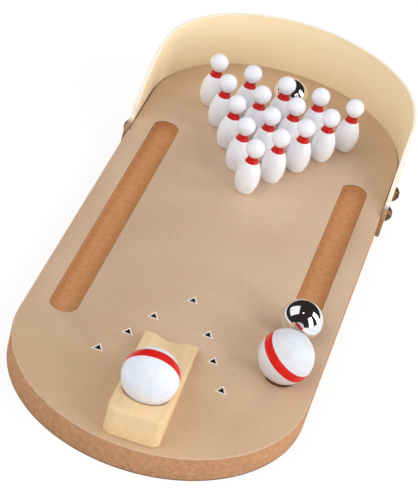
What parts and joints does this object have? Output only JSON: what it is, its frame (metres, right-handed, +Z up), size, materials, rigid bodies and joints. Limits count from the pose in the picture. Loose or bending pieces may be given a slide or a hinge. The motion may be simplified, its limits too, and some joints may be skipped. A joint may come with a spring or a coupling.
{
  "type": "table bowling game",
  "caption": "Small table bowling game: veneered board with side gutters, bent plywood guard, turned pins, launch ramp, painted balls and steel balls.",
  "frame": {"origin": "centre of the board's flat underside, where it stands on the table", "axes": "+Y along the lane from the launch ramp to the pins, +X to the right, +Z up"},
  "size_m": [0.1444, 0.348, 0.0453],
  "materials": {
    "fibreboard": "raw medium-density fibreboard, sanded edge and routed gutters",
    "veneer": "light tan matt top sheet with printed aiming marks",
    "plywood": "bent light plywood, clear satin lacquer",
    "bronzed_steel": "steel wood screws with a dark bronze finish",
    "beech": "sanded light wood, clear satin lacquer",
    "ball_paint": "wooden ball, gloss white paint with one red stripe",
    "polished_steel": "polished steel ball",
    "pin_paint": "turned wood, gloss white paint with a red neck band"
  },
  "bodies": {
    "board": {"board_core": "fibreboard", "lane_veneer": "veneer", "back_guard": "plywood", "guard_screws": "bronzed_steel"},
    "launch_ramp": {"launch_ramp": "beech"},
    "ramp_ball": {"ramp_ball": "ball_paint"},
    "lane_ball": {"lane_ball": "ball_paint"},
    "gutter_steel_ball": {"gutter_steel_ball": "polished_steel"},
    "rear_steel_ball": {"rear_steel_ball": "polished_steel"},
    "pin_01": {"pin_01": "pin_paint"},
    "pin_02": {"pin_02": "pin_paint"},
    "pin_03": {"pin_03": "pin_paint"},
    "pin_04": {"pin_04": "pin_paint"},
    "pin_05": {"pin_05": "pin_paint"},
    "pin_06": {"pin_06": "pin_paint"},
    "pin_07": {"pin_07": "pin_paint"},
    "pin_08": {"pin_08": "pin_paint"},
    "pin_09": {"pin_09": "pin_paint"},
    "pin_10": {"pin_10": "pin_paint"},
    "pin_11": {"pin_11": "pin_paint"},
    "pin_12": {"pin_12": "pin_paint"},
    "pin_13": {"pin_13": "pin_paint"},
    "pin_14": {"pin_14": "pin_paint"},
    "pin_15": {"pin_15": "pin_paint"}
  },
  "joints": [
    {"name": "launch_ramp_lift", "type": "slide", "parent": "board", "child": "launch_ramp", "axis": [0, 0, 1], "range_m": [0, 0.045]},
    {"name": "ramp_ball_lift", "type": "slide", "parent": "launch_ramp", "child": "ramp_ball", "axis": [0, 0, 1], "range_m": [0, 0.045]},
    {"name": "lane_ball_lift", "type": "slide", "parent": "board", "child": "lane_ball", "axis": [0, 0, 1], "range_m": [0, 0.045]},
    {"name": "gutter_steel_ball_lift", "type": "slide", "parent": "board", "child": "gutter_steel_ball", "axis": [0, 0, 1], "range_m": [0, 0.045]},
    {"name": "rear_steel_ball_lift", "type": "slide", "parent": "board", "child": "rear_steel_ball", "axis": [0, 0, 1], "range_m": [0, 0.045]},
    {"name": "pin_01_lift", "type": "slide", "parent": "board", "child": "pin_01", "axis": [0, 0, 1], "range_m": [0, 0.045]},
    {"name": "pin_02_lift", "type": "slide", "parent": "board", "child": "pin_02", "axis": [0, 0, 1], "range_m": [0, 0.045]},
    {"name": "pin_03_lift", "type": "slide", "parent": "board", "child": "pin_03", "axis": [0, 0, 1], "range_m": [0, 0.045]},
    {"name": "pin_04_lift", "type": "slide", "parent": "board", "child": "pin_04", "axis": [0, 0, 1], "range_m": [0, 0.045]},
    {"name": "pin_05_lift", "type": "slide", "parent": "board", "child": "pin_05", "axis": [0, 0, 1], "range_m": [0, 0.045]},
    {"name": "pin_06_lift", "type": "slide", "parent": "board", "child": "pin_06", "axis": [0, 0, 1], "range_m": [0, 0.045]},
    {"name": "pin_07_lift", "type": "slide", "parent": "board", "child": "pin_07", "axis": [0, 0, 1], "range_m": [0, 0.045]},
    {"name": "pin_08_lift", "type": "slide", "parent": "board", "child": "pin_08", "axis": [0, 0, 1], "range_m": [0, 0.045]},
    {"name": "pin_09_lift", "type": "slide", "parent": "board", "child": "pin_09", "axis": [0, 0, 1], "range_m": [0, 0.045]},
    {"name": "pin_10_lift", "type": "slide", "parent": "board", "child": "pin_10", "axis": [0, 0, 1], "range_m": [0, 0.045]},
    {"name": "pin_11_lift", "type": "slide", "parent": "board", "child": "pin_11", "axis": [0, 0, 1], "range_m": [0, 0.045]},
    {"name": "pin_12_lift", "type": "slide", "parent": "board", "child": "pin_12", "axis": [0, 0, 1], "range_m": [0, 0.045]},
    {"name": "pin_13_lift", "type": "slide", "parent": "board", "child": "pin_13", "axis": [0, 0, 1], "range_m": [0, 0.045]},
    {"name": "pin_14_lift", "type": "slide", "parent": "board", "child": "pin_14", "axis": [0, 0, 1], "range_m": [0, 0.045]},
    {"name": "pin_15_lift", "type": "slide", "parent": "board", "child": "pin_15", "axis": [0, 0, 1], "range_m": [0, 0.045]}
  ]
}
